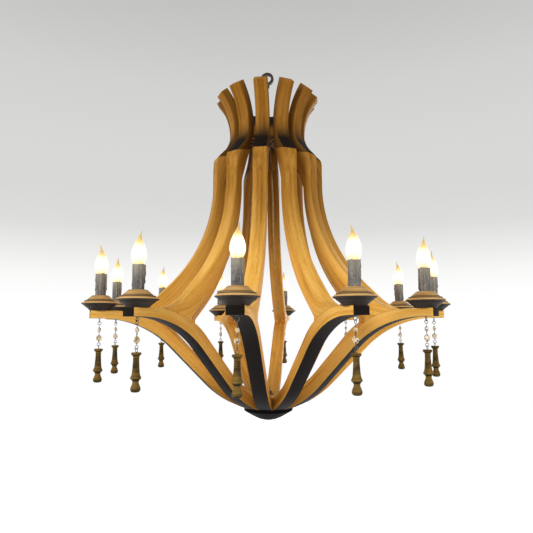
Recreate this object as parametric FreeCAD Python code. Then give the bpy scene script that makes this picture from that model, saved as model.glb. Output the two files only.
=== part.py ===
"""Twelve-light wooden basket chandelier, hung by one steel eye. Millimetres, +Z up.

Twelve flat-sawn ribs stand 30 degrees apart round a vertical axis. Each rib is an S-shaped arm, a
bell-shaped stave that stands on the arm, and a flared crown slat on top of the stave. A turned hub
joins the arms at the bottom and a forged spider joins the slats at the neck. Every arm carries a
candle light above its end and a hinged string with a turned drop below it.

The origin is the centre of the hanging eye's bore. A rib is drawn in its own plane, with X as the
distance from the axis and Z as the height over the plane of the saucers' rims, and is then turned
to its place and lowered by eye_rise.
"""
import FreeCAD, Part
import math
import os
from FreeCAD import Placement, Rotation, Vector

# ---- ribs ------------------------------------------------------------------------------------
rib_count = 12
rib_width = 40.0                 # width of every sawn board
candle_radius = 490.0            # axis of each candle from the axis of the chandelier
eye_rise = 735.0                 # hanging eye over the saucers' rims
glue_gap = 0.15                  # play round a tenon in its mortise

# ---- arms ------------------------------------------------------------------------------------
arm_overhang = 25.0              # arm's end beyond the candle's axis
arm_end_thickness = 20.0
arm_top_flat = 35.0              # level seat from the candle's axis inwards
arm_top_bend = 237.5             # radius of the upper face where the arm turns down
arm_under_bend = 270.0
arm_fall = 45.5                  # degrees below level of the straight stretch
arm_top_straight = 160.0
arm_under_straight = 150.0
arm_return_bend = 298.0          # radius of the lower face where the arm levels out at the hub
arm_return = 26.0                # degrees that it levels out by

# ---- bottom hub ------------------------------------------------------------------------------
core_flat_radius = 76.5          # distance of the core's twelve flats from the axis
core_bore_reach = 200.0          # length of the drill that bores the core
core_lip = 3.0                   # how far the core stands over the arm ends
arm_tenon_length = 16.0
arm_tenon_width = 16.0
arm_tenon_height = 14.0
dish_radius = 73.0
dish_wall = 12.0
dish_depth = 38.0
dish_foot_radius = 16.0
hub_bolt_radius = 5.0
hub_nut_width = 17.0
hub_nut_height = 8.0
hub_washer_radius = 15.0
hub_washer_thickness = 2.5
dish_bolt_depth = 22.0           # how deep the bolt runs into the dish

# ---- staves ----------------------------------------------------------------------------------
stave_bulge = 2.5                # outer face below the shoulder, beyond the shoulder's edge
stave_bulge_drop = 10.0
stave_bell_top = 370.0           # height where the outer face starts to flare
stave_outer_bend = 440.0
stave_outer_flare = 45.0         # degrees
stave_outer_straight = 54.0
stave_toe_bend = 142.0
stave_toe_flare = 39.0
stave_inner_knee = 60.0          # radius of the bend below the leaning head
stave_inner_bend = 480.0
stave_inner_flare = 46.0
stave_inner_bell_top = 348.0
foot_tenon_back = 100.0          # middle of the foot's tenon, inwards of the candle's axis
foot_tenon_length = 24.0
foot_tenon_width = 14.0
foot_tenon_depth = 17.0          # tenon's lower face under the arm's seat

# ---- crown slats -----------------------------------------------------------------------------
neck_radius = 117.6              # outer face at the neck
neck_height = 536.0
slat_thickness = 26.0
lip_bend = 85.6                  # radius of the outer face below the neck
lip_lean = 42.0                  # degrees from upright where the lip runs straight
lip_straight = 44.0
crown_bend = 180.0               # radius of the outer face above the neck
crown_flare = 41.0
head_lean = 20.0                 # degrees from upright of the inner face below the neck
head_lean_drop = 90.0            # how far down the stave's head keeps that lean
joint_inner_drop = 74.0          # inner end of the joint between slat and stave, under the neck
head_tenon_radius = 138.0
head_tenon_length = 18.0
head_tenon_width = 14.0
head_tenon_height = 10.0

# ---- neck spider, rod and eye ----------------------------------------------------------------
spider_hub_radius = 10.0
spider_hub_height = 14.0
spider_thickness = 5.0
bar_width = 6.0
spider_drop = 13.0               # bars' upper face under the neck
strap_width = 20.0
strap_top = 45.0                 # height of the straps over the neck
strap_screw_rise = 28.0          # screw above the neck
strap_screw_width = 10.0         # hexagon head across flats
strap_screw_head = 4.0
strap_screw_length = 16.0
strap_screw_shank = 4.4
rod_radius = 4.0
rod_nut_width = 13.0
rod_nut_height = 7.0
rod_tail = 3.0
eye_bore_radius = 13.0
eye_outer_radius = 21.0
eye_thickness = 9.0
eye_neck_width = 14.0

# ---- wires -----------------------------------------------------------------------------------
wire_width = 4.0
wire_thickness = 2.4
wire_gap = 0.2                   # air between the wire and the wood it lies on
wire_channel_play = 0.4
wire_start_radius = 14.0
wire_top_bend = 10.0
wire_top_turn = 76.0
wire_foot_bend = 18.0
wire_aims = 8                    # tries at aiming the wire's last run at the socket
wire_foot_run = 56.0             # level length of the straight run into the arm

# ---- candles ---------------------------------------------------------------------------------
saucer_base_radius = 25.0
saucer_rim_radius = 48.5
saucer_rim_half = 1.2
saucer_shelf_radius = 38.0
saucer_shelf_height = 7.5
saucer_boss_radius = 27.0
saucer_height = 22.0             # top of the boss over the rim
saucer_depth = 19.0              # arm's seat under the rim
shank_width = 10.0               # hexagonal shank of the socket across flats
shank_play = 0.2
shank_depth = 12.0               # how deep the shank stands in the arm
socket_width = 21.0
socket_top = 66.0
sleeve_radius = 14.5
sleeve_wall = 2.0
sleeve_top = 80.0
bulb_base_radius = 7.0
bulb_radius = 17.5
bulb_belly = 101.0
bulb_neck_radius = 8.5
bulb_neck = 134.0
bulb_top = 160.0

# ---- drop strings ----------------------------------------------------------------------------
link_radius = 4.2                # centre line of each link, across flats
link_wire = 1.6
link_seat_radius = 1.0           # rounded seat that the next link swings on
link_sides = 6
link_play = 0.5                  # air between two hooked links
eye_plate_width = 7.0
eye_plate_thickness = 1.2
eye_centre_drop = 7.2            # centre of the screw eye under the arm
eye_shank = 6.5
small_crystal_radius = 5.0
small_crystal_half = 6.0
large_crystal_radius = 7.5
large_crystal_half = 8.5
crystal_sides = 8
crystal_tip_radius = 1.6
pin_width = 1.2
top_pin = 6.5
middle_pin = 7.5
bottom_pin = 3.0

# ---- turned drops ----------------------------------------------------------------------------
drop_disc_radius = 11.5
drop_disc_height = 6.0
drop_shaft_top_radius = 7.0
drop_shaft_top = 11.0
drop_shaft_low_radius = 9.0
drop_shaft_low = 46.0
drop_collar_radius = 12.5
drop_collar = 57.0
drop_waist_radius = 7.0
drop_waist = 66.0
drop_foot_radius = 12.5
drop_foot = 83.0
drop_length = 88.5
drop_tip_radius = 6.0

# ---- heights and radii that follow ------------------------------------------------------------
rib_angle = 360.0 / rib_count
first_rib_angle = -90.0
arm_end_radius = candle_radius + arm_overhang
foot_tenon_radius = candle_radius - foot_tenon_back
spider_top = neck_height - spider_drop
spider_hub_top = spider_top + (spider_hub_height - spider_thickness) / 2
spider_hub_low = spider_hub_top - spider_hub_height
joint_height_inner = neck_height - joint_inner_drop
arm_top_z = -saucer_depth
arm_under_z = arm_top_z - arm_end_thickness
wire_offset = wire_thickness / 2 + wire_gap


def vector(x, z, y=0.0):
    return Vector(x, y, z)


class Trace:
    """A run of tangent lines and arcs in the XZ plane. Headings are in degrees from +X towards +Z."""

    def __init__(self, x, z, heading):
        self.x, self.z, self.heading = x, z, heading
        self.edges = []

    def line(self, length):
        turn = math.radians(self.heading)
        return self.to(self.x + length * math.cos(turn), self.z + length * math.sin(turn))

    def to(self, x, z):
        self.edges.append(Part.LineSegment(vector(self.x, self.z), vector(x, z)).toShape())
        self.x, self.z = x, z
        return self

    def line_to_x(self, x):
        slope = math.tan(math.radians(self.heading))
        return self.to(x, self.z + (x - self.x) * slope)

    def line_to_z(self, z):
        slope = math.tan(math.radians(self.heading))
        return self.to(self.x + (z - self.z) / slope, z)

    def arc(self, radius, turn):
        """Adds an arc that turns left where turn is positive, and right where it is negative."""
        side = math.copysign(90.0, turn)
        away = math.radians(self.heading + side)
        centre_x = self.x + radius * math.cos(away)
        centre_z = self.z + radius * math.sin(away)
        points = []
        for share in (0.0, 0.5, 1.0):
            angle = math.radians(self.heading - side + share * turn)
            points.append(vector(centre_x + radius * math.cos(angle), centre_z + radius * math.sin(angle)))
        self.edges.append(Part.Arc(*points).toShape())
        self.x, self.z = points[2].x, points[2].z
        self.heading += turn
        return self


def board(edges, width):
    """Saws a board of the given width, centred on the rib's plane, from a closed run of edges."""
    wire = Part.Wire(Part.__sortEdges__(edges))
    face = Part.Face(wire)
    face.translate(Vector(0, -width / 2, 0))
    return face.extrude(Vector(0, width, 0))


def joined(*points):
    return [Part.LineSegment(vector(*a), vector(*b)).toShape() for a, b in zip(points, points[1:])]


def block(x_low, x_high, width, z_low, z_high):
    return Part.makeBox(x_high - x_low, width, z_high - z_low, Vector(x_low, -width / 2, z_low))


def turned(outline, radius=0.0):
    """Spins (radius, height) points round a vertical axis that stands at the given distance."""
    points = [Vector(radius + r, 0, z) for r, z in outline]
    face = Part.Face(Part.makePolygon(points + [points[0]]))
    return face.revolve(Vector(radius, 0, 0), Vector(0, 0, 1), 360)


def prism(sides, across_flats, height, base, turn=0.0):
    """A regular upright prism, with flats the given distance apart and its base centre at base."""
    corner = across_flats / 2 / math.cos(math.pi / sides)
    points = []
    for side in range(sides + 1):
        angle = math.radians(turn) + (side + 0.5) * 2 * math.pi / sides
        points.append(base + Vector(corner * math.cos(angle), corner * math.sin(angle), 0))
    return Part.Face(Part.makePolygon(points)).extrude(Vector(0, 0, height))


def at_rib(shape, rib):
    """Returns a copy of a shape, turned from the drawing plane to its rib and lowered to the frame."""
    copy = shape.copy()
    turn = Rotation(Vector(0, 0, 1), first_rib_angle + rib * rib_angle)
    copy.Placement = Placement(Vector(0, 0, -eye_rise), turn).multiply(copy.Placement)
    return copy


def all_ribs(shape):
    return Part.makeCompound([at_rib(shape, rib) for rib in range(rib_count)])


# ---- wood: arms, staves and slats --------------------------------------------------------------
def arm_top_trace():
    trace = Trace(arm_end_radius, arm_top_z, 180.0).line(arm_overhang + arm_top_flat)
    trace.arc(arm_top_bend, arm_fall).line(arm_top_straight)
    return trace.arc(arm_return_bend - arm_thickness(), -arm_return).line_to_x(core_flat_radius)


def arm_under_trace():
    trace = Trace(arm_end_radius, arm_under_z, 180.0).line(arm_overhang)
    trace.arc(arm_under_bend, arm_fall).line(arm_under_straight)
    return trace.arc(arm_return_bend, -arm_return).line_to_x(core_flat_radius)


def arm_thickness():
    """Thickness along the arm's straight stretch, between its two parallel faces."""
    fall = math.radians(arm_fall)
    top_x = candle_radius - arm_top_flat - arm_top_bend * math.sin(fall)
    top_z = arm_top_z - arm_top_bend * (1 - math.cos(fall))
    under_x = candle_radius - arm_under_bend * math.sin(fall)
    under_z = arm_under_z - arm_under_bend * (1 - math.cos(fall))
    return (top_z - under_z) * math.cos(fall) + (under_x - top_x) * math.sin(fall)


def arm_board():
    top, under = arm_top_trace(), arm_under_trace()
    ends = joined((arm_end_radius, arm_top_z), (arm_end_radius, arm_under_z))
    ends += joined((top.x, top.z), (under.x, under.z))
    return board(top.edges + under.edges + ends, rib_width), top.z, under.z


def core_tenon(play, top_z, under_z):
    """Tenon at the arm's inner end, or with play the mortise for it in the core."""
    middle = (top_z + under_z) / 2
    return block(core_flat_radius - arm_tenon_length - play, core_flat_radius + play,
                 arm_tenon_width + 2 * play, middle - arm_tenon_height / 2 - play,
                 middle + arm_tenon_height / 2 + play)


def foot_tenon(play):
    """Tenon under the stave's foot, or with play the mortise for it in the arm."""
    return block(foot_tenon_radius - foot_tenon_length / 2 - play,
                 foot_tenon_radius + foot_tenon_length / 2 + play,
                 foot_tenon_width + 2 * play, arm_top_z - foot_tenon_depth - play, arm_top_z)


def inner_face_trace():
    """The ribs' inner face from the neck down to the arm, where the wire lies."""
    trace = Trace(neck_radius - slat_thickness, neck_height, 270.0)
    trace.arc(lip_bend + slat_thickness, head_lean)
    return trace


def joint_ends():
    """Outer and inner end of the glued joint between a crown slat and its stave."""
    lean = math.radians(lip_lean)
    outer_x = neck_radius + lip_bend * (1 - math.cos(lean)) + lip_straight * math.sin(lean)
    outer_z = neck_height - lip_bend * math.sin(lean) - lip_straight * math.cos(lean)
    inner = inner_face_trace().line_to_z(joint_height_inner)
    return (outer_x, outer_z), (inner.x, inner.z)


def head_tenon(play):
    """Tenon on the stave's head, or with play the mortise for it in the slat."""
    (outer_x, outer_z), (inner_x, inner_z) = joint_ends()
    middle = inner_z + (outer_z - inner_z) * (head_tenon_radius - inner_x) / (outer_x - inner_x)
    return block(head_tenon_radius - head_tenon_length / 2 - play,
                 head_tenon_radius + head_tenon_length / 2 + play,
                 head_tenon_width + 2 * play, middle - head_tenon_height, middle + head_tenon_height + play)


def slat_board():
    outer_end, inner_end = joint_ends()
    outer = Trace(*outer_end, 90.0 + lip_lean).line(lip_straight)
    outer.arc(lip_bend, -lip_lean).arc(crown_bend, -crown_flare)
    inner = Trace(neck_radius - slat_thickness, neck_height, 90.0)
    inner.arc(crown_bend + slat_thickness, -crown_flare)
    lower = inner_face_trace().line_to_z(joint_height_inner)
    ends = joined((outer.x, outer.z), (inner.x, inner.z)) + joined(outer_end, inner_end)
    slat = board(outer.edges + inner.edges + lower.edges + ends, rib_width)
    return slat.cut(head_tenon(glue_gap))


def inner_stave_trace(offset=0.0):
    """The stave's inner face, from the joint down, or a line that lies offset inside it."""
    _, (inner_x, inner_z) = joint_ends()
    lean = math.radians(head_lean)
    trace = Trace(inner_x - offset * math.cos(lean), inner_z - offset * math.sin(lean), 270.0 + head_lean)
    return bell_inside(trace, offset)


def bell_inside(trace, offset):
    """Runs a trace on along the stave's inner face, from its leaning head to the end of its flare."""
    lean = math.radians(head_lean)
    trace.line_to_z(joint_height_inner - head_lean_drop - offset * math.sin(lean))
    trace.arc(stave_inner_knee - offset, -head_lean).line_to_z(stave_inner_bell_top)
    return trace.arc(stave_inner_bend + offset, stave_inner_flare)


def stave_board(arm):
    (outer_x, outer_z), (inner_x, inner_z) = joint_ends()
    stave_radius = outer_x + stave_bulge
    outer = Trace(outer_x, outer_z, 270.0).to(stave_radius, outer_z - stave_bulge_drop)
    outer.to(stave_radius, stave_bell_top).arc(stave_outer_bend, stave_outer_flare)
    outer.line(stave_outer_straight).arc(stave_toe_bend, stave_toe_flare)
    inner = inner_stave_trace().line_to_z(arm_under_z)
    toe = (outer.x, outer.z - arm_end_thickness / 2)
    heel = (inner.x, inner.z - arm_end_thickness / 2)
    ends = joined((outer.x, outer.z), toe, heel, (inner.x, inner.z))
    ends += joined((outer_x, outer_z), (inner_x, inner_z))
    stave = board(outer.edges + inner.edges + ends, rib_width).cut(arm)
    head = head_tenon(0.0).common(board(slat_outline_below(), rib_width))
    return stave.fuse([foot_tenon(0.0), head]).removeSplitter()


def slat_outline_below():
    """The slat's own outline, closed, which trims the stave's head tenon to the slat's side."""
    (outer_x, outer_z), (inner_x, inner_z) = joint_ends()
    rise = 2 * head_tenon_height
    corners = ((outer_x, outer_z), (outer_x, outer_z + rise), (inner_x, inner_z + rise),
               (inner_x, inner_z), (outer_x, outer_z))
    return joined(*corners)


# ---- wires -------------------------------------------------------------------------------------
def wire_trace():
    """Centre line of a lamp wire: over the spider, down the rib's inner face and into the arm."""
    start = Trace(neck_radius - slat_thickness, neck_height, 270.0)
    centre_x = start.x + lip_bend + slat_thickness
    reach = lip_bend + slat_thickness + wire_offset
    meet = math.radians(90.0 - wire_top_turn)
    meet_x = centre_x - reach * math.cos(meet)
    meet_z = neck_height - reach * math.sin(meet)
    turn = math.radians(wire_top_turn)
    bend_x = meet_x - wire_top_bend * math.sin(turn)
    bend_z = meet_z + wire_top_bend * (1 - math.cos(turn))
    trace = Trace(wire_start_radius, bend_z, 0.0).line_to_x(bend_x).arc(wire_top_bend, -wire_top_turn)
    trace.arc(reach, head_lean - (90.0 - wire_top_turn))
    bell_inside(trace, wire_offset)
    trace.line_to_x(trace.x + wire_foot_run)
    end_x, end_z = candle_radius - shank_width / 2 - wire_gap, arm_top_z - shank_depth / 2
    turn_in, rise = 90.0 - stave_inner_flare, 0.0
    for _ in range(wire_aims):
        bend = Trace(trace.x, trace.z, -turn_in).arc(wire_foot_bend, turn_in + rise)
        rise = math.degrees(math.atan2(end_z - bend.z, end_x - bend.x))
    return trace.arc(wire_foot_bend, turn_in + rise).line_to_x(end_x)


def flat_sweep(trace, width, thickness):
    """A flat strip round a trace, made stretch by stretch and joined."""
    strips = []
    for edge in trace.edges:
        tangent = edge.tangentAt(edge.FirstParameter)
        start = edge.valueAt(edge.FirstParameter)
        side = Vector(-tangent.z, 0, tangent.x) * (thickness / 2)
        across = Vector(0, width / 2, 0)
        corners = [start + side + across, start - side + across, start - side - across, start + side - across]
        face = Part.Face(Part.makePolygon(corners + [corners[0]]))
        if isinstance(edge.Curve, Part.Line):
            strips.append(face.extrude(edge.valueAt(edge.LastParameter) - start))
        else:
            turn = math.degrees(edge.LastParameter - edge.FirstParameter)
            strips.append(face.revolve(edge.Curve.Center, edge.Curve.Axis, turn))
    return strips[0].fuse(strips[1:]).removeSplitter()


# ---- iron: spider, screws, rod and eye ------------------------------------------------------------
def spider():
    """Small hub with a thin bar and an upright strap for each rib, forged in one piece."""
    inner_x = neck_radius - slat_thickness
    centre_x = neck_radius + crown_bend
    reach = crown_bend + slat_thickness
    top = math.degrees(math.asin(strap_top / reach))
    low = spider_top - spider_thickness
    strap = Trace(inner_x, neck_height, 90.0).arc(reach, -top)
    back = Trace(inner_x - spider_thickness, neck_height, 90.0).arc(reach + spider_thickness, -top)
    back_x = inner_x - spider_thickness
    sides = joined((strap.x, strap.z), (back.x, back.z))
    sides += joined((inner_x, neck_height), (inner_x, low), (back_x, low), (back_x, neck_height))
    upright = board(strap.edges + back.edges + sides, strap_width)
    bar = upright.fuse(block(0.0, inner_x, bar_width, low, spider_top))
    bar = bar.cut(board(screw_hole_outline(), strap_screw_shank + 2 * glue_gap))
    hub = Part.makeCylinder(spider_hub_radius, spider_hub_height, Vector(0, 0, spider_hub_low))
    arms = []
    for rib in range(rib_count):
        arm = bar.copy()
        arm.rotate(Vector(0, 0, 0), Vector(0, 0, 1), rib * rib_angle)
        arms.append(arm)
    hole = Part.makeCylinder(rod_radius + wire_gap, spider_hub_height, Vector(0, 0, spider_hub_low))
    return hub.fuse(arms).cut(hole).removeSplitter()


def screw_axis():
    """Where a strap screw enters the slat, and the direction it points, away from the axis."""
    reach = crown_bend + slat_thickness
    lean = math.asin(strap_screw_rise / reach)
    seat = vector(neck_radius + crown_bend - reach * math.cos(lean), neck_height + strap_screw_rise)
    return seat, Vector(math.cos(lean), 0, -math.sin(lean))


def screw_hole_outline():
    seat, along = screw_axis()
    up = Vector(-along.z, 0, along.x) * (strap_screw_shank / 2 + glue_gap)
    near, far = seat - along * (2 * spider_thickness), seat + along * strap_screw_length
    corners = [near + up, far + up, far - up, near - up, near + up]
    return joined(*[(corner.x, corner.z) for corner in corners])


def strap_screw():
    """Square-shanked screw with a hexagonal head that lies on the strap's inner face."""
    seat, along = screw_axis()
    head = prism(6, strap_screw_width, strap_screw_head, Vector(0, 0, 0))
    half = strap_screw_shank / 2
    shank = Part.makeBox(2 * half, 2 * half, strap_screw_length, Vector(-half, -half, -strap_screw_length))
    screw = head.fuse(shank).removeSplitter()
    turn = Rotation(Vector(0, 0, -1), along)
    screw.Placement = Placement(seat - along * spider_thickness, turn)
    return screw


def rod_and_eye():
    """Threaded rod through the spider, with the flat hanging eye forged on its upper end."""
    low = spider_hub_low - rod_nut_height - rod_tail
    eye = Part.makeCylinder(eye_outer_radius, eye_thickness, Vector(0, -eye_thickness / 2, eye_rise),
                            Vector(0, 1, 0))
    neck = Part.makeBox(eye_neck_width, eye_thickness, eye_outer_radius,
                        Vector(-eye_neck_width / 2, -eye_thickness / 2, eye_rise - 1.4 * eye_outer_radius))
    rod = Part.makeCylinder(rod_radius, eye_rise - eye_outer_radius - low, Vector(0, 0, low))
    bore = Part.makeCylinder(eye_bore_radius, 2 * eye_thickness, Vector(0, -eye_thickness, eye_rise),
                             Vector(0, 1, 0))
    return eye.fuse([neck, rod]).cut(bore).removeSplitter()


def ring_nut(base_z):
    nut = prism(6, rod_nut_width, rod_nut_height, Vector(0, 0, base_z))
    return nut.cut(Part.makeCylinder(rod_radius, rod_nut_height, Vector(0, 0, base_z)))


# ---- bottom hub --------------------------------------------------------------------------------
def hub_core(top_z, under_z):
    base = under_z
    core = prism(rib_count, 2 * core_flat_radius, top_z - under_z + core_lip, Vector(0, 0, base))
    for rib in range(rib_count):
        mortise = core_tenon(glue_gap, top_z, under_z)
        mortise.rotate(Vector(0, 0, 0), Vector(0, 0, 1), rib * rib_angle)
        core = core.cut(mortise)
    return core.cut(Part.makeCylinder(hub_bolt_radius + glue_gap, core_bore_reach,
                                      Vector(0, 0, base - core_bore_reach / 2)))


def hub_dish(under_z):
    """Solid turned dish that closes the hub from below."""
    floor = under_z - dish_depth
    middle_radius = (dish_radius + dish_foot_radius) / 2 + 4.0
    middle_z = under_z - dish_wall - 0.68 * (dish_depth - dish_wall)
    dish = turned([(0, under_z), (dish_radius, under_z), (dish_radius, under_z - dish_wall),
                   (middle_radius, middle_z), (dish_foot_radius, floor), (0, floor)])
    return dish.cut(Part.makeCylinder(hub_bolt_radius + glue_gap, dish_bolt_depth,
                                      Vector(0, 0, under_z - dish_bolt_depth)))


def hub_bolt(top_z, under_z):
    """Bolt from the top of the core down into the dish, with its washer under the head."""
    seat = top_z + core_lip
    washer = Part.makeCylinder(hub_washer_radius, hub_washer_thickness, Vector(0, 0, seat))
    head = prism(6, hub_nut_width, hub_nut_height, Vector(0, 0, seat + hub_washer_thickness))
    length = seat - under_z + dish_bolt_depth - 1.0
    shank = Part.makeCylinder(hub_bolt_radius, length, Vector(0, 0, seat - length))
    return washer.fuse([head, shank]).removeSplitter()


# ---- candles -----------------------------------------------------------------------------------
def saucer():
    """Turned saucer under a candle, with a keyed hole for the socket's shank."""
    outline = [(0, arm_top_z), (saucer_base_radius, arm_top_z), (saucer_rim_radius, -saucer_rim_half),
               (saucer_rim_radius, saucer_rim_half), (saucer_shelf_radius, saucer_shelf_height),
               (saucer_boss_radius, saucer_height), (0, saucer_height)]
    body = turned(outline, candle_radius)
    hole = prism(6, shank_width + 2 * shank_play, saucer_height - arm_top_z,
                 Vector(candle_radius, 0, arm_top_z))
    return body.cut(hole)


def shank_hole():
    return prism(6, shank_width + 2 * shank_play, shank_depth + shank_play,
                 Vector(candle_radius, 0, arm_top_z - shank_depth - shank_play))


def socket():
    """Lamp socket with the hexagonal shank that holds saucer and arm together."""
    shank = prism(6, shank_width, saucer_height - arm_top_z + shank_depth,
                  Vector(candle_radius, 0, arm_top_z - shank_depth))
    body = prism(6, socket_width, socket_top - saucer_height, Vector(candle_radius, 0, saucer_height))
    return body.fuse(shank).removeSplitter()


def candle_sleeve():
    inner = sleeve_radius - sleeve_wall
    return turned([(inner, saucer_height), (sleeve_radius, saucer_height), (sleeve_radius, sleeve_top),
                   (inner, sleeve_top)], candle_radius)


def bulb():
    return turned([(0, socket_top), (bulb_base_radius, socket_top), (bulb_radius, bulb_belly),
                   (bulb_neck_radius, bulb_neck), (0, bulb_top)], candle_radius)


# ---- strings of crystals and turned drops ----------------------------------------------------------
def link(centre_z, across_rib, carries=False):
    """Six-sided link of square wire, in the rib's plane or across it, rounded below where it carries."""
    outer = prism(link_sides, 2 * link_radius + link_wire, link_wire, Vector(0, 0, -link_wire / 2), 30.0)
    hole = prism(link_sides, 2 * link_radius - link_wire, link_wire, Vector(0, 0, -link_wire / 2), 30.0)
    ring = outer.cut(hole)
    if carries:
        half = (link_radius - link_wire / 2) * math.tan(math.pi / link_sides)
        ring = ring.fuse(Part.makeCylinder(link_seat_radius, 2 * half, Vector(-half, -link_radius, 0),
                                           Vector(1, 0, 0))).removeSplitter()
    ring.rotate(Vector(0, 0, 0), Vector(1, 0, 0), 90.0)
    if across_rib:
        ring.rotate(Vector(0, 0, 0), Vector(0, 0, 1), 90.0)
    ring.translate(Vector(candle_radius, 0, centre_z))
    return ring


def pin(low_z, high_z):
    moved = block(-pin_width / 2, pin_width / 2, pin_width, low_z, high_z)
    moved.translate(Vector(candle_radius, 0, 0))
    return moved


def crystal(radius, half, centre_z):
    """Faceted bead, widest in the middle."""
    halves = []
    for side in (-1, 1):
        wires = []
        for across, height in ((radius, 0.0), (crystal_tip_radius, side * half)):
            points = []
            for corner in range(crystal_sides + 1):
                angle = corner * 2 * math.pi / crystal_sides
                points.append(Vector(candle_radius + across * math.cos(angle), across * math.sin(angle),
                                     centre_z + height))
            wires.append(Part.makePolygon(points))
        halves.append(Part.makeLoft(wires, True, True))
    return halves[0].fuse(halves[1])


hook_step = link_wire + link_play        # a hooked link's top wire over the wire that carries it
eye_centre = arm_under_z - eye_centre_drop
string_pivot = eye_centre - link_radius
top_link = string_pivot + hook_step - link_radius
small_crystal_z = top_link - link_radius - link_wire / 2 - top_pin - small_crystal_half
large_crystal_z = small_crystal_z - small_crystal_half - middle_pin - large_crystal_half
low_link = large_crystal_z - large_crystal_half - bottom_pin - link_wire / 2 - link_radius
drop_pivot = low_link - link_radius
drop_link = drop_pivot + hook_step - link_radius
drop_top = drop_link - link_radius - link_wire / 2


def screw_eye():
    """Screw eye under the arm: a link across the rib's plane, a small plate and a short shank."""
    plate = prism(6, eye_plate_width, eye_plate_thickness,
                  Vector(candle_radius, 0, arm_under_z - eye_plate_thickness))
    stem = pin(eye_centre + link_radius - link_wire / 2, arm_under_z)
    shank = pin(arm_under_z, arm_under_z + eye_shank)
    return link(eye_centre, True, True).fuse([plate, stem, shank]).removeSplitter()


def screw_eye_hole():
    return pin(arm_under_z - 1.0, arm_under_z + eye_shank + glue_gap)


def crystal_string():
    """Everything between screw eye and turned drop, which swings as one."""
    upper = link(top_link, False)
    lower = link(low_link, False, True)
    first_pin = pin(small_crystal_z + small_crystal_half, top_link - link_radius)
    second_pin = pin(large_crystal_z + large_crystal_half, small_crystal_z - small_crystal_half)
    third_pin = pin(low_link + link_radius, large_crystal_z - large_crystal_half)
    small = crystal(small_crystal_radius, small_crystal_half, small_crystal_z)
    large = crystal(large_crystal_radius, large_crystal_half, large_crystal_z)
    return Part.makeCompound([upper.fuse(first_pin).removeSplitter(), small, second_pin, large,
                              lower.fuse(third_pin).removeSplitter()])


def turned_drop():
    """Turned wooden drop with the link of its hanger, which stands across the rib's plane."""
    outline = [(0, 0), (drop_disc_radius, 0), (drop_disc_radius, -drop_disc_height),
               (drop_shaft_top_radius, -drop_shaft_top), (drop_shaft_low_radius, -drop_shaft_low),
               (drop_collar_radius, -drop_collar), (drop_waist_radius, -drop_waist),
               (drop_foot_radius, -drop_foot), (drop_tip_radius, -drop_length), (0, -drop_length)]
    body = turned([(radius, drop_top + height) for radius, height in outline], candle_radius)
    return body, link(drop_link, True)


# ---- the whole ---------------------------------------------------------------------------------
def build():
    """Returns every node's shape by name."""
    plain_arm, top_z, under_z = arm_board()
    wire = flat_sweep(wire_trace(), wire_width, wire_thickness)
    channel = flat_sweep(wire_trace(), wire_width + 2 * wire_channel_play,
                         wire_thickness + 2 * wire_channel_play)
    arm = plain_arm.fuse(core_tenon(0.0, top_z, under_z))
    arm = arm.cut([foot_tenon(glue_gap), shank_hole(), screw_eye_hole(), channel]).removeSplitter()
    stave = stave_board(plain_arm).cut(channel)
    string = crystal_string()
    drop, drop_hanger = turned_drop()
    nodes = {}
    for rib in range(rib_count):
        number = f"{rib + 1:02d}"
        nodes[f"arm_{number}"] = at_rib(arm, rib)
        nodes[f"stave_{number}"] = at_rib(stave, rib)
        nodes[f"crystal_string_{number}"] = at_rib(string, rib)
        nodes[f"turned_drop_{number}"] = at_rib(Part.makeCompound([drop, drop_hanger]), rib)
    screw_hole = board(screw_hole_outline(), strap_screw_shank + 2 * glue_gap)
    nodes["crown_slats"] = all_ribs(slat_board().cut(screw_hole))
    nodes["saucers"] = all_ribs(saucer())
    nodes["lamp_sockets"] = all_ribs(socket())
    nodes["candle_sleeves"] = all_ribs(candle_sleeve())
    nodes["bulbs"] = all_ribs(bulb())
    nodes["screw_eyes"] = all_ribs(screw_eye())
    nodes["lamp_wires"] = all_ribs(wire)
    nodes["neck_spider"] = at_rib(spider(), 0)
    nodes["hanging_rod"] = at_rib(rod_and_eye(), 3)
    nodes["hub_core"] = at_rib(hub_core(top_z, under_z), 0)
    nodes["hub_dish"] = at_rib(hub_dish(under_z), 0)
    nuts = [ring_nut(spider_hub_low - rod_nut_height), ring_nut(spider_hub_top)]
    fixed = Part.makeCompound(nuts + [hub_bolt(top_z, under_z)])
    nodes["screws_bolt_and_nuts"] = Part.makeCompound([all_ribs(strap_screw()), at_rib(fixed, 0)])
    return nodes


os.makedirs("parts", exist_ok=True)
for name, shape in build().items():
    shape.exportStep(f"parts/{name}.step")
    print(name, len(shape.Solids), "solid(s)", "valid" if shape.isValid() else "NOT VALID")
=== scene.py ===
"""Wooden basket chandelier with twelve candle lights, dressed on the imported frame, in metres."""
import logging
import math
import random
from dataclasses import dataclass, field
from enum import Enum
from typing import Any, Callable, Iterable, Optional, Sequence

import bmesh
import bpy
from mathutils import Matrix, Vector


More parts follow.
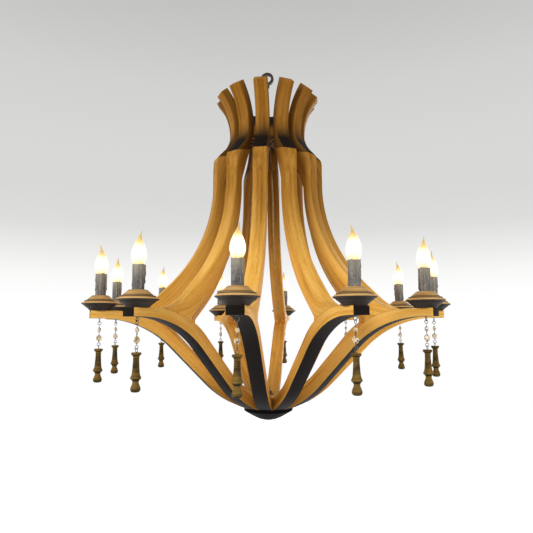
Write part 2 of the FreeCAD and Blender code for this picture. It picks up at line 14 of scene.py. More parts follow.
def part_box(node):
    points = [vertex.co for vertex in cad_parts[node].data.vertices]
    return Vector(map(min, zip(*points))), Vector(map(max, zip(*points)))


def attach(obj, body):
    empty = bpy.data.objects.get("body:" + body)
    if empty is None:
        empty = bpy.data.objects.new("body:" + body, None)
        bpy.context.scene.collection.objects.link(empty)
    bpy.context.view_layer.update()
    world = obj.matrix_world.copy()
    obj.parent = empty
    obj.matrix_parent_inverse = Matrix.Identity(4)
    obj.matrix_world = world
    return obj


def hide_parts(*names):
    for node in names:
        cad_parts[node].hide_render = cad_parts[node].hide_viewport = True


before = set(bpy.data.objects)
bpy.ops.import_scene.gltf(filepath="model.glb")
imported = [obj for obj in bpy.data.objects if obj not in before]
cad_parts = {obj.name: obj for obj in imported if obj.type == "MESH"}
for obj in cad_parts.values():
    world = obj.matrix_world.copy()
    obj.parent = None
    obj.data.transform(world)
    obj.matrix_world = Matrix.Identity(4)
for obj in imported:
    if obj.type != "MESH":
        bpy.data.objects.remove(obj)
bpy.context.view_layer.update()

log = logging.getLogger("chandelier")

MM = 0.001
RIBS = 12
EYE_RISE = 735.0         # hanging eye over the saucers' rims, mm
CANDLE_RADIUS = 490.0    # from the axis to each candle, mm
FIXED = "frame"          # the body that holds everything but the strings and drops
WELD = 1e-6              # corners of a turned mesh this near are one, m
FRAME_WELD = 2e-6        # corners of a frame node's mesh this near are one, m
OVERRUN = 9.0            # a bent line's two end runs go on for this many of their lengths
TURN_SCALE = 0.01        # metres of lathe grain for each radian round the axis
WIRE_SIDES = 8           # of a bent wire
RING_STEPS = 20          # segments of a bent ring

Triple = tuple[float, float, float]
Colour = Triple
Span = tuple[float, float]
Stops = Sequence[tuple[float, Colour]]
Profile = Sequence[tuple[float, float]]


class Domain(Enum):
    """Where on a mesh an attribute is kept."""

    POINT = "POINT"
    CORNER = "CORNER"


class Kind(Enum):
    """What an attribute holds: Blender's type, and the field that takes the values."""

    NUMBER = ("FLOAT", "value")
    VECTOR = ("FLOAT_VECTOR", "vector")


class Plane(Enum):
    """Which way a ring stands at its rib: in the rib's plane, or across it."""

    IN_RIB = "in_rib"
    ACROSS = "across"


class Blend(Enum):
    """How one colour goes over another."""

    MIX = "MIX"
    MULTIPLY = "MULTIPLY"


class Slot(Enum):
    """The record's material slots."""

    WOOD = "wood"
    SLEEVE = "sleeve"
    BULB = "bulb"
    CRYSTAL = "crystal"
    IRON = "iron"
    DROP_WOOD = "drop_wood"
    DARK_WOOD = "dark_wood"


# ---- shader maths --------------------------------------------------------------------------------
class Value:
    """A shader socket that takes part in Python arithmetic."""

    def __init__(self, nodes: "Nodes", socket: bpy.types.NodeSocket) -> None:
        """Keeps the socket and the node tree that it belongs to."""
        self.nodes, self.socket = nodes, socket

    def _math(self, operation: str, first: Any, second: Any) -> "Value":
        """Adds one Math node."""
        return self.nodes.node("ShaderNodeMath", {"operation": operation}, {0: first, 1: second})

    def __add__(self, other: Any) -> "Value":
        """Sum."""
        return self._math("ADD", self, other)

    def __sub__(self, other: Any) -> "Value":
        """Difference."""
        return self._math("SUBTRACT", self, other)

    def __rsub__(self, other: Any) -> "Value":
        """Difference from a number."""
        return self._math("SUBTRACT", other, self)

    def __mul__(self, other: Any) -> "Value":
        """Product."""
        return self._math("MULTIPLY", self, other)

    def __truediv__(self, other: Any) -> "Value":
        """Quotient."""
        return self._math("DIVIDE", self, other)

    def __rtruediv__(self, other: Any) -> "Value":
        """Quotient of a number by this value."""
        return self._math("DIVIDE", other, self)

    __radd__ = __add__
    __rmul__ = __mul__

    def larger(self, other: Any) -> "Value":
        """Returns the larger of two values."""
        return self._math("MAXIMUM", self, other)

    def step(self, low: float, high: float) -> "Value":
        """Returns a smooth step from 0 at low to 1 at high."""
        settings = {"interpolation_type": "SMOOTHSTEP"}
        return self.nodes.node("ShaderNodeMapRange", settings, {0: self, 1: low, 2: high})


class Nodes:
    """A node tree that is built from Python expressions."""

    def __init__(self, tree: bpy.types.NodeTree) -> None:
        """Starts with the tree emptied."""
        self.tree = tree
        tree.nodes.clear()

    def plug(self, socket: bpy.types.NodeSocket, value: Any) -> None:
        """Links a value to a socket, or sets something plain on it.

        Args:
            socket: The socket.
            value: A Value to link, or a number, colour or vector to set.
        """
        if isinstance(value, Value):
            self.tree.links.new(value.socket, socket)
        elif isinstance(value, tuple) and len(value) == 3 and socket.type == "RGBA":
            socket.default_value = (*value, 1.0)
        else:
            socket.default_value = value

    def node(self, kind: str, settings: Optional[dict[str, Any]] = None,
             inputs: Optional[dict[Any, Any]] = None, output: Any = 0) -> Value:
        """Adds a node.

        Args:
            kind: The node's type.
            settings: Properties, set first; "stops" fills a colour ramp.
            inputs: Values or links by socket name or number.
            output: Name or number of the output that is wanted.

        Returns:
            The output.
        """
        made = self.tree.nodes.new(kind)
        for key, value in (settings or {}).items():
            if key == "stops":
                ramp = made.color_ramp.elements
                while len(ramp) < len(value):
                    ramp.new(1.0)
                for element, (place, colour) in zip(ramp, value):
                    element.position, element.color = place, (*colour, 1.0)
            else:
                setattr(made, key, value)
        for key, value in (inputs or {}).items():
            self.plug(made.inputs[key], value)
        return Value(self, made.outputs[output])

    def end(self, kind: str, shader: bpy.types.NodeSocket) -> None:
        """Adds an output node of a kind, and links a shader to its surface."""
        output = self.tree.nodes.new(kind)
        self.tree.links.new(shader, output.inputs["Surface"])

    def ramp(self, value: Value, stops: Stops) -> Value:
        """Returns a colour ramp's colour."""
        return self.node("ShaderNodeValToRGB", {"stops": stops}, {0: value})

    def up(self, coordinates: str) -> Value:
        """Returns the upright part of the Object or Generated coordinates."""
        place = self.node("ShaderNodeTexCoord", output=coordinates)
        return self.node("ShaderNodeSeparateXYZ", {}, {0: place}, "Z")

    def seen(self) -> Value:
        """Tells what is looked at from the light that only falls.

        Returns:
            1 for the camera, gloss and glass, and 0 for the rest.
        """
        camera, gloss, glass = (self.node("ShaderNodeLightPath", output=f"Is {ray} Ray")
                                for ray in ("Camera", "Glossy", "Transmission"))
        return camera.larger(gloss).larger(glass)


@dataclass(frozen=True)
class Relief:
    """How a height map raises a surface."""

    strength: float                         # how much of it shows
    rise: float                             # for a height of 1, m


class Paint(Nodes):
    """One finish, on a principled shader."""

    def __init__(self, name: str) -> None:
        """Starts an empty material.

        Args:
            name: The finish's name.
        """
        self.material = bpy.data.materials.new(name)
        self.material.use_nodes = True
        super().__init__(self.material.node_tree)
        self.shader = self.tree.nodes.new("ShaderNodeBsdfPrincipled")
        self.end("ShaderNodeOutputMaterial", self.shader.outputs[0])

    def place(self) -> Value:
        """Returns the object coordinates."""
        return self.node("ShaderNodeTexCoord", output="Object")

    def attribute(self, name: str, output: str) -> Value:
        """Returns a mesh attribute, as its Vector or its Fac output."""
        return self.node("ShaderNodeAttribute", {"attribute_name": name}, output=output)

    def stretch(self, vector: Value, scale: Triple) -> Value:
        """Returns a vector times a scale for each axis."""
        return self.node("ShaderNodeVectorMath", {"operation": "MULTIPLY"}, {0: vector, 1: scale})

    def noise(self, vector: Value, scale: float, detail: float = 3.0, rough: float = 0.55) -> Value:
        """Returns noise from 0 to 1."""
        return self.node("ShaderNodeTexNoise", {}, {"Vector": vector, "Scale": scale,
                                                    "Detail": detail, "Roughness": rough})

    def mix(self, factor: Any, first: Any, second: Any, blend: Blend = Blend.MIX) -> Value:
        """Returns a mix of two colours."""
        settings = {"data_type": "RGBA", "blend_type": blend.value}
        return self.node("ShaderNodeMix", settings, {0: factor, 6: first, 7: second}, 2)

    def bump(self, height: Value, relief: Relief) -> None:
        """Raises the surface by a height map.

        Args:
            height: The map.
            relief: How far it raises the surface.
        """
        normal = self.node("ShaderNodeBump", {}, {"Height": height, "Strength": relief.strength,
                                                  "Distance": relief.rise})
        self.plug(self.shader.inputs["Normal"], normal)

    def surface(self, **sockets: Any) -> bpy.types.Material:
        """Sets the principled shader's sockets.

        Args:
            sockets: A value for each socket, by its name with _ for a space.

        Returns:
            The finished material.
        """
        for name, value in sockets.items():
            self.plug(self.shader.inputs[name.replace("_", " ")], value)
        return self.material


# ---- finishes ------------------------------------------------------------------------------------
@dataclass(frozen=True)
class Streak:
    """Noise drawn out along the fibres, with its repeats in a metre along and across them."""

    along: float
    across: float
    detail: float = 3.0
    rough: float = 0.55
    share: float = 0.0                      # of the wood's tone

    def on(self, paint: Paint, grain: Value) -> Value:
        """Returns the noise, from 0 to 1."""
        scale = (self.along, self.across, self.across)
        return paint.noise(paint.stretch(grain, scale), 1.0, self.detail, self.rough)


@dataclass(frozen=True)
class OiledWood:
    """Golden oiled hardwood with fibres along each rib, and black painted shade where the mesh asks
    for it.

    The crown is painted a shade darker, as painted shade far above the bulbs, and a band low on the
    ribs is painted with the warmth of the bulbs' light.
    """

    name: str = "oiled_wood"
    deep: Colour = (0.150, 0.058, 0.0075)
    middle: Colour = (0.365, 0.164, 0.0210)
    pale: Colour = (0.56, 0.276, 0.057)
    tones: Triple = (0.36, 0.50, 0.65)      # of the three colours above
    # painted light: the warm colours of the band low on the ribs where the bulbs' light falls
    glow: tuple[Colour, ...] = ((0.60, 0.267, 0.034), (0.91, 0.487, 0.094), (0.97, 0.622, 0.188))
    glow_tones: Triple = (0.38, 0.50, 0.63)
    glow_share: float = 0.88
    glow_top: Span = (-0.37, -0.70)         # heights over which the glow sets in, m
    glow_foot: Span = (-0.86, -1.10)        # and over which it dies away
    # painted shade: the crown, far above the bulbs, is darkened by this colour
    crown: Colour = (0.79, 0.73, 0.62)
    crown_height: Span = (-0.34, -0.16)
    # painted shade: near black, and paler along some fibres
    stain: Colour = (0.0070, 0.0052, 0.0044)
    paler_shade: Colour = (0.0165, 0.0120, 0.0092)
    figure: Streak = Streak(2.2, 26.0, 4.0, share=0.36)
    fibres: Streak = Streak(9.0, 420.0, 3.0, 0.65, share=0.26)
    bands: Streak = Streak(1.1, 95.0, 2.0, 0.4, share=0.26)
    board: Streak = Streak(1.3, 3.0, 1.0, share=0.12)
    pores: Streak = Streak(60.0, 1500.0, 2.0)
    pore_step: Span = (0.60, 0.70)
    pore_depth: float = 0.45
    shade_edge: Span = (0.1, 0.95)          # mask values over which the painted shade covers the wood
    shade_wander: float = 0.25              # how far the fibres move that edge
    paler_fibres: Span = (0.35, 0.8)              # fibres that show paler in the painted shade
    paler_share: float = 0.5
    raised: Triple = (0.6, -0.5, 0.2)       # relief of the fibres, pores and bands
    relief: Relief = Relief(0.35, 0.0006)
    rough: Triple = (0.42, 0.18, 0.08)      # plain, and what fibres and painted shade add
    gloss: float = 0.05

    def make(self) -> bpy.types.Material:
        """Mixes the finish.

        Returns:
            The material.
        """
        paint = Paint(self.name)
        grain = paint.attribute("grain", "Vector")
        streaks = (self.figure, self.fibres, self.bands, self.board)
        figure, fibres, bands, board = (streak.on(paint, grain) for streak in streaks)
        pores = self.pores.on(paint, grain).step(*self.pore_step)
        tone = (figure * self.figure.share + fibres * self.fibres.share + bands * self.bands.share
                + board * self.board.share)
        wood = paint.ramp(tone, list(zip(self.tones, (self.deep, self.middle, self.pale))))
        height = paint.up("Object")
        # Painted shade: the crown darker, far above the bulbs.
        wood = paint.mix(height.step(*self.crown_height), wood, self.crown, Blend.MULTIPLY)
        # Painted light: a warm, paler band low on the ribs, where the bulbs' light falls.
        painted_bulb_light = height.step(*self.glow_top) * (1.0 - height.step(*self.glow_foot))
        glow = paint.ramp(tone, list(zip(self.glow_tones, self.glow)))
        wood = paint.mix(painted_bulb_light * self.glow_share, wood, glow)
        wood = paint.mix(pores * self.pore_depth, wood, self.deep)
        # Painted shade: near black where the mesh's mask asks, its edge moved by the fibres.
        mask = paint.attribute("stain", "Fac")
        shade_cover = (mask + (fibres - 0.5) * self.shade_wander * mask).step(*self.shade_edge)
        paler_fibres = fibres.step(*self.paler_fibres) * self.paler_share
        black = paint.mix(paler_fibres, self.stain, self.paler_shade)
        fibre_rise, pore_rise, band_rise = self.raised
        paint.bump(fibres * fibre_rise + pores * pore_rise + bands * band_rise, self.relief)
        plain, fibre_rough, shade_rough = self.rough
        return paint.surface(Base_Color=paint.mix(shade_cover, wood, black), Specular_IOR_Level=self.gloss,
                             Roughness=plain + fibres * fibre_rough + shade_cover * shade_rough)


@dataclass(frozen=True)
class TurnedWood:
    """Wood turned on a lathe: fine rings round each piece's axis, with painted shade in grooves and
    below.
    """

    name: str
    deep: Colour
    pale: Colour
    # painted shade: the colour below and in the grooves
    under: Colour
    rings: float = 900.0                    # tool marks in a metre
    turn: float = 9.0                       # how much they change round the axis
    figure: Triple = (60.0, 30.0, 30.0)
    shares: Span = (0.45, 0.55)             # of rings and figure in the tone
    tones: Span = (0.36, 0.66)              # of the deep and the pale colour
    flecks: float = 420.0
    fleck_step: Span = (0.56, 0.72)
    fleck_depth: float = 0.35
    shade_edge: Span = (0.15, 0.95)         # mask values over which the painted shade covers the wood
    shade_wander: float = 0.5               # how far the rings move that edge
    raised: Span = (0.7, 0.3)               # relief of rings and figure
    relief: Relief = Relief(0.3, 0.0005)
    rough: Span = (0.4, 0.2)                # plain, and what the rings add
    gloss: float = 0.10

    def make(self) -> bpy.types.Material:
        """Mixes the finish.

        Returns:
            The material.
        """
        paint = Paint(self.name)
        grain = paint.attribute("grain", "Vector")
        rings = paint.noise(paint.stretch(grain, (self.rings, self.turn, self.rings)), 1.0)
        figure = paint.noise(paint.stretch(grain, self.figure), 1.0)
        flecks = paint.noise(paint.place(), self.flecks).step(*self.fleck_step)
        tone = rings * self.shares[0] + figure * self.shares[1]
        wood = paint.mix(tone.step(*self.tones), self.deep, self.pale)
        wood = paint.mix(flecks * self.fleck_depth, wood, self.deep)
        # Painted shade below and in the grooves, from the mesh's mask.
        mask = paint.attribute("stain", "Fac")
        dark = (mask + (rings - 0.5) * self.shade_wander * mask).step(*self.shade_edge)
        paint.bump(rings * self.raised[0] + figure * self.raised[1], self.relief)
        return paint.surface(Base_Color=paint.mix(dark, wood, self.under),
                             Roughness=self.rough[0] + rings * self.rough[1],
                             Specular_IOR_Level=self.gloss)


@dataclass(frozen=True)
class DripWax:
    """Grey-brown drip sleeve with pale rubbed ridges, sooty in the hollows, and painted light from
    the bulb on its top.
    """

    name: str = "drip_sleeve"
    streaks: Triple = (230.0, 230.0, 16.0)
    spots: float = 160.0
    tones: Stops = ((0.34, (0.03, 0.028, 0.029)), (0.5, (0.125, 0.116, 0.104)),
                    (0.66, (0.31, 0.285, 0.235)))
    # painted light: the top of the sleeve made paler by its bulb
    lit_top: Colour = (0.48, 0.42, 0.30)
    lit_height: Span = (-0.700, -0.655)
    lit_share: float = 0.35
    shares: Span = (0.6, 0.4)               # of streaks and spots in the tone
    raised: Span = (0.6, 0.6)               # relief of streaks and spots
    relief: Relief = Relief(0.5, 0.0012)
    rough: Span = (0.5, 0.25)               # plain, and what the spots add

    def make(self) -> bpy.types.Material:
        """Mixes the finish.

        Returns:
            The material.
        """
        paint = Paint(self.name)
        streaks = paint.noise(paint.stretch(paint.place(), self.streaks), 1.0)
        spots = paint.noise(paint.place(), self.spots, 4.0, 0.6)
        tone = streaks * self.shares[0] + spots * self.shares[1]
        # Painted light from the bulb on the top of the sleeve.
        top = paint.up("Object").step(*self.lit_height)
        colour = paint.mix(top * self.lit_share, paint.ramp(tone, self.tones), self.lit_top)
        paint.bump(streaks * self.raised[0] + spots * self.raised[1], self.relief)
        return paint.surface(Base_Color=colour, Roughness=self.rough[0] + spots * self.rough[1])


@dataclass(frozen=True)
class LitGlass:
    """Lit candle bulb: amber at the collar, white in the body and pale glass at the bent tip."""

    name: str = "lit_bulb"
    strength: float = 1.1
    glass: Colour = (0.30, 0.21, 0.08)
    foot: float = -0.660                    # height of the collar, m
    length: float = 0.085                   # from the collar to the tip, m
    wisps: Triple = (150.0, 150.0, 40.0)
    wisp_reach: float = 0.16                # how far the wisps move the light, share of length
    rough: float = 0.12
    light: Stops = ((0.0, (0.66, 0.40, 0.12)), (0.09, (0.95, 0.70, 0.32)),
                    (0.18, (1.0, 0.93, 0.70)), (0.32, (1.0, 0.98, 0.88)),
                    (0.56, (1.0, 0.95, 0.76)), (0.68, (0.80, 0.55, 0.20)),
                    (0.80, (0.42, 0.28, 0.09)), (1.0, (0.30, 0.20, 0.08)))

    def make(self) -> bpy.types.Material:
        """Mixes the finish.

        Returns:
            The material.
        """
        paint = Paint(self.name)
        wisps = paint.noise(paint.stretch(paint.place(), self.wisps), 1.0, 2.0)
        level = (paint.up("Object") - self.foot) / self.length + (wisps - 0.5) * self.wisp_reach
        return paint.surface(Base_Color=self.glass, Roughness=self.rough,
                             Emission_Color=paint.ramp(level, self.light),
                             Emission_Strength=self.strength)


@dataclass(frozen=True)
class Metal:
    """Forged or drawn metal with a mottled skin."""

    name: str
    low: Colour
    high: Colour
    metallic: float = 0.8
    rough: float = 0.42
    patches: float = 140.0
    patch_step: Span = (0.35, 0.7)
    pits: float = 900.0
    pit_rough: float = 0.15
    raised: Span = (0.7, 0.3)               # relief of patches and pits
    relief: Relief = Relief(0.35, 0.0006)

    def make(self) -> bpy.types.Material:
        """Mixes the finish.

        Returns:
            The material.
        """
        paint = Paint(self.name)
        patches = paint.noise(paint.place(), self.patches, 4.0, 0.6)
        pits = paint.noise(paint.place(), self.pits, 2.0)
        colour = paint.mix(patches.step(*self.patch_step), self.low, self.high)
        paint.bump(patches * self.raised[0] + pits * self.raised[1], self.relief)
        return paint.surface(Base_Color=colour, Metallic=self.metallic,
                             Roughness=self.rough + pits * self.pit_rough)


@dataclass(frozen=True)
class CutGlass:
    """Faceted glass bead, clear to smoky amber from facet to facet, as painted glints and painted
    shade.
    """

    name: str = "cut_glass"
    haze: float = 260.0
    rough: Span = (0.05, 0.06)              # plain, and what the haze adds
    alpha: Span = (0.55, 0.35)
    coat_rough: float = 0.03
    # painted glints and shade: one shade for each facet, from dark brown to near white
    facets: Stops = ((0.0, (0.09, 0.055, 0.025)), (0.3, (0.55, 0.32, 0.06)),
                     (0.6, (0.86, 0.62, 0.24)), (1.0, (0.97, 0.93, 0.82)))

    def make(self) -> bpy.types.Material:
        """Mixes the finish.

        Returns:
            The material.
        """
        paint = Paint(self.name)
        colour = paint.ramp(paint.attribute("facet", "Fac"), self.facets)
        haze = paint.noise(paint.place(), self.haze, 2.0)
        return paint.surface(Base_Color=colour, Roughness=self.rough[0] + haze * self.rough[1],
                             Alpha=self.alpha[0] + haze * self.alpha[1], Coat_Weight=1.0,
                             Coat_Roughness=self.coat_rough)


@dataclass(frozen=True)
class FlatCable:
    """Gold insulation of the flat lamp wires, in brown sleeving where they gather in the neck."""

    name: str = "flat_cable"
    dull: Colour = (0.42, 0.29, 0.12)
    bright: Colour = (0.68, 0.52, 0.27)
    sleeving: Colour = (0.20, 0.095, 0.022)
    sleeving_height: Span = (-0.31, -0.27)
    clouds: float = 60.0
    cloud_step: Span = (0.3, 0.7)
    ripples: float = 700.0
    relief: Relief = Relief(0.2, 0.0003)
    rough: Span = (0.35, 0.15)              # plain, and what the clouds add

    def make(self) -> bpy.types.Material:
        """Mixes the finish.

        Returns:
            The material.
        """
        paint = Paint(self.name)
        clouds = paint.noise(paint.place(), self.clouds)
        ripples = paint.noise(paint.place(), self.ripples, 2.0)
        colour = paint.mix(clouds.step(*self.cloud_step), self.dull, self.bright)
        colour = paint.mix(paint.up("Object").step(*self.sleeving_height), colour, self.sleeving)
        paint.bump(ripples, self.relief)
        return paint.surface(Base_Color=colour, Roughness=self.rough[0] + clouds * self.rough[1])


# ---- mesh helpers --------------------------------------------------------------------------------
def rib_number(rib: int) -> str:
    """Returns a rib's number as the nodes' names have it, from 01."""
    return f"{rib + 1:02d}"


def rib_turn(rib: int) -> Matrix:
    """Returns the turn from the first rib to another."""
    return Matrix.Rotation(math.radians(360.0 / RIBS * rib), 4, "Z")


def to_candle(rib: int) -> Matrix:
    """Returns the move from the axis to a rib's candle."""
    return rib_turn(rib) @ Matrix.Translation((0, -CANDLE_RADIUS * MM, 0))


def low(z: float) -> float:
    """Returns a height over the saucers' rims, in mm, as a height in the frame."""
    return (z - EYE_RISE) * MM


def part_way(value: float, start: float, end: float) -> float:
    """Returns how far a value is on the way from start to end, from 0 to 1."""
    return min(max((value - start) / (end - start), 0.0), 1.0)


def revolve(profile: Profile, steps: int) -> bmesh.types.BMesh:
    """Turns an open profile round the upright axis.

    Args:
        profile: Radius and height pairs in mm, heights over the saucers' rims.
        steps: Number of segments.

    Returns:
        A closed mesh on the axis, with its faces outwards.
    """
    made = bmesh.new()
    points = [made.verts.new((r * MM, 0.0, low(z))) for r, z in profile]
    edges = [made.edges.new(pair) for pair in zip(points, points[1:])]
    bmesh.ops.spin(made, geom=points + edges, axis=(0, 0, 1), cent=(0, 0, 0), steps=steps,
                   angle=math.tau, use_merge=True)
    bmesh.ops.remove_doubles(made, verts=made.verts, dist=WELD)
    bmesh.ops.recalc_face_normals(made, faces=made.faces)
    return made


def ring(radius: float, wire: float, z: float, plane: Plane) -> bmesh.types.BMesh:
    """Bends round wire to a closed ring that stands upright on the axis.

    Args:
        radius: Radius of the wire's centre line, mm.
        wire: Radius of the wire, mm.
        z: Height of the ring's centre over the saucers' rims, mm.
        plane: Which way the ring stands.

    Returns:
        The ring.
    """
    made = bmesh.new()
    bmesh.ops.create_circle(made, segments=WIRE_SIDES, radius=wire * MM)
    bmesh.ops.translate(made, verts=made.verts, vec=(radius * MM, 0, 0))
    bmesh.ops.spin(made, geom=made.verts[:] + made.edges[:], axis=(0, 1, 0), cent=(0, 0, 0),
                   steps=RING_STEPS, angle=math.tau, use_merge=True)
    if plane is Plane.IN_RIB:
        quarter = Matrix.Rotation(math.pi / 2, 3, "Z")
        bmesh.ops.rotate(made, verts=made.verts, cent=(0, 0, 0), matrix=quarter)
    bmesh.ops.translate(made, verts=made.verts, vec=(0, 0, low(z)))
    bmesh.ops.recalc_face_normals(made, faces=made.faces)
    return made


def rod(radius: float, bottom: float, top: float, sides: int = 10) -> bmesh.types.BMesh:
    """Cuts an upright pin that stands on the axis.

    Args:
        radius: Its radius, mm.
        bottom: Height of its lower end over the saucers' rims, mm.
        top: Height of its upper end, mm.
        sides: Number of sides.

    Returns:
        The pin.
    """
    made = bmesh.new()
    bmesh.ops.create_cone(made, cap_ends=True, segments=sides, radius1=radius * MM,
                          radius2=radius * MM, depth=(top - bottom) * MM)
    bmesh.ops.translate(made, verts=made.verts, vec=(0, 0, low((top + bottom) / 2)))
    return made


def merged(parts: Iterable[bmesh.types.BMesh]) -> bmesh.types.BMesh:
    """Puts several meshes in one, and frees them.

    Args:
        parts: The meshes.

    Returns:
        One mesh that holds them all.
    """
    whole = bmesh.new()
    for part in parts:
        spare = mesh_of(part, "spare")
        whole.from_mesh(spare)
        bpy.data.meshes.remove(spare)
    return whole


def mesh_of(made: bmesh.types.BMesh, name: str, sharp: Optional[float] = None) -> bpy.types.Mesh:
    """Makes a mesh of a bmesh, and frees the bmesh.

    Args:
        made: The bmesh.
        name: The mesh's name.
        sharp: Shades smooth but for edges with more than this angle in degrees, or not at all.

    Returns:
        The mesh.
    """
    if sharp is not None:
        for face in made.faces:
            face.smooth = True
        for edge in made.edges:
            angle = edge.calc_face_angle(0.0)
            edge.smooth = len(edge.link_faces) == 2 and angle < math.radians(sharp)
    mesh = bpy.data.meshes.new(name)
    made.to_mesh(mesh)
    made.free()
    return mesh


def write(mesh: bpy.types.Mesh, name: str, domain: Domain, kind: Kind,
          values: list[float]) -> None:
    """Stores an attribute on a mesh.

    Args:
        mesh: The mesh.
        name: The attribute's name.
        domain: Where it is kept.
        kind: What it holds.
        values: All values in a row.
    """
    blender_type, place = kind.value
    layer = mesh.attributes.new(name, blender_type, domain.value)
    layer.data.foreach_set(place, values)


def write_painted_shade(mesh: bpy.types.Mesh, dark: Callable[[Vector, Vector], float]) -> None:
    """Stores how much painted shade a mesh has at each corner of its faces.

    Args:
        mesh: The mesh.
        dark: Painted shade from 0 to 1 for a place and a face's normal.
    """
    stains = [dark(mesh.vertices[mesh.loops[loop].vertex_index].co, face.normal)
              for face in mesh.polygons for loop in face.loop_indices]
    # painted shade: how dark each corner is painted where shade would fall
    write(mesh, "stain", Domain.CORNER, Kind.NUMBER, stains)


def lathe_grain(mesh: bpy.types.Mesh, dark: Callable[[Vector, Vector], float],
                seed: float) -> None:
    """Stores turning coordinates and painted shade on a turned mesh that still stands on the axis.

    Args:
        mesh: The mesh.
        dark: Painted shade from 0 to 1 for a place and a face's normal.
        seed: Shifts the pattern.
    """
    values: list[float] = []
    for vertex in mesh.vertices:
        place = vertex.co
        turn = math.atan2(abs(place.y), place.x) * TURN_SCALE
        values += [math.hypot(place.x, place.y) + seed, turn, place.z + seed]
    write(mesh, "grain", Domain.POINT, Kind.VECTOR, values)
    write_painted_shade(mesh, dark)


def along(line: Profile, x: float, z: float) -> tuple[float, float]:
    """Finds where a point lies beside a bent line.

    Args:
        line: The line's corners, mm.
        x: Distance from the axis, mm.
        z: Height, mm.

    Returns:
        The way along the line and the distance beside it, both in mm.
    """
    best, found, run = math.inf, (0.0, 0.0), 0.0
    for index, ((ax, az), (bx, bz)) in enumerate(zip(line, line[1:])):
        dx, dz = bx - ax, bz - az
        length = math.hypot(dx, dz)
        least = -OVERRUN if index == 0 else 0.0
        most = OVERRUN if index == len(line) - 2 else 1.0
        share = min(max(((x - ax) * dx + (z - az) * dz) / length ** 2, least), most)
        away = math.hypot(x - ax - share * dx, z - az - share * dz)
        if away < best:
            side = math.copysign(1.0, dx * (z - az) - dz * (x - ax))
            best, found = away, (run + share * length, side * away)
        run += length
    return found


def piece(mesh: bpy.types.Mesh, name: str, finish: bpy.types.Material, body: str,
          node: str) -> None:
    """Puts a finished mesh in the scene, and reports it.

    Args:
        mesh: The mesh, in the frame's place.
        name: The piece's name.
        finish: Its material.
        body: The body that it rides on.
        node: The frame's node that it stands for.
    """
    made = bpy.data.objects.new(name, mesh)
    bpy.context.scene.collection.objects.link(made)
    mesh.materials.clear()
    mesh.materials.append(finish)
    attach(made, body)
    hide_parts(node)
    log.info("%s: %d faces on %s", name, len(mesh.polygons), body)


# ---- ribs ----------------------------------------------------------------------------------------
@dataclass(frozen=True)
class ArmShade:
    """Painted shade: black under the arms and on their outer ends, and a dark seam under the
    stave's foot.
    """

    side: float = 0.6                       # a cut face's normal.x is less than this
    sawn: float = 0.95                      # a sawn side's is more, an eased edge's less
    down: float = -0.45                     # normal.z of an underside
    outward: float = -0.8                   # normal.y of an end
    end: float = 500.0                      # radius of the outer ends, mm
    foot: Span = (285.0, 437.0)             # radii of the stave's foot, mm
    seam_up: float = 0.15                   # normal.z of the upper edges
    # painted shade on the seam under the stave's foot, and on the eased edges
    seam: float = 0.8
    eased: float = 0.35

    def __call__(self, radius: float, z: float, normal: Vector) -> float:
        """Says how dark a point of the arm is.

        Args:
            radius: Distance from the axis, mm.
            z: Height over the saucers' rims, mm; not used.
            normal: The face's normal.

        Returns:
            Painted shade from 0 to 1.
        """
        if abs(normal.x) < self.side:
            is_end = normal.y < self.outward and radius > self.end
            return 1.0 if normal.z < self.down or is_end else 0.0
        if abs(normal.x) > self.sawn:
            return 0.0
        at_foot = normal.z > self.seam_up and self.foot[0] < radius < self.foot[1]
        return self.seam if at_foot else self.eased


@dataclass(frozen=True)
class StaveShade:
    """Painted shade: a brown edge along the flared inner faces, and dark seams at the foot and the
    shoulder.
    """

    edges: Span = (0.35, 0.95)              # normal.x of an eased edge
    shoulder: float = 452.0                 # height of the shoulder, mm
    foot: float = 285.0                     # radius where the foot begins, mm
    foot_top: float = -2.0                  # height of the foot's heel, mm
    foot_down: float = -0.2                 # normal.z of the foot's lower edges
    seam: float = 0.75
    eased: float = 0.35
    side: float = 0.75                      # an inner face's normal.x is less than this
    inward: float = -0.25                   # and its normal.z is less than this
    flare: Span = (165.0, 285.0)            # radii over which the brown edge sets in, mm
    # painted shade on the flared inner faces, which look away from the bulbs
    brown: float = 0.20

    def __call__(self, radius: float, z: float, normal: Vector) -> float:
        """Says how dark a point of the stave is.

        Args:
            radius: Distance from the axis, mm.
            z: Height over the saucers' rims, mm.
            normal: The face's normal.

        Returns:
            Painted shade from 0 to 1.
        """
        if self.edges[0] < abs(normal.x) < self.edges[1]:
            at_foot = radius > self.foot and normal.z < self.foot_down and z < self.foot_top
            return self.seam if z > self.shoulder or at_foot else self.eased
        inner = abs(normal.x) < self.side and normal.z < self.inward and normal.y > 0.0
        return self.brown * part_way(radius, *self.flare) if inner else 0.0


@dataclass(frozen=True)
class SlatShade:
    """Painted shade on the concave lip above the shoulder, the sawn sides and inside the crown."""

    lip: Span = (588.0, 482.0)              # heights over which the lip blackens, mm
    lip_curve: float = 1.35
    side: float = 0.6                       # a sawn side's normal.x is more than this
    sawn: float = 0.40
    sawn_lip: float = 0.25
    inner: Span = (600.0, 636.0)            # heights over which the inside blackens, mm
    inner_depth: float = 0.9
    facing: float = 0.2                     # normal.y, in or out, of all but the end
    end: float = 0.45

    def __call__(self, radius: float, z: float, normal: Vector) -> float:
        """Says how dark a point of the slat is.

        Args:
            radius: Distance from the axis, mm; not used.
            z: Height over the saucers' rims, mm.
            normal: The face's normal.

        Returns:
            Painted shade from 0 to 1.
        """
        fade = part_way(z, *self.lip) ** self.lip_curve
        if abs(normal.x) > self.side:
            return self.sawn + fade * self.sawn_lip
        if normal.y > self.facing:
            return self.inner_depth * part_way(z, *self.inner)
        return fade if normal.y < -self.facing else self.end


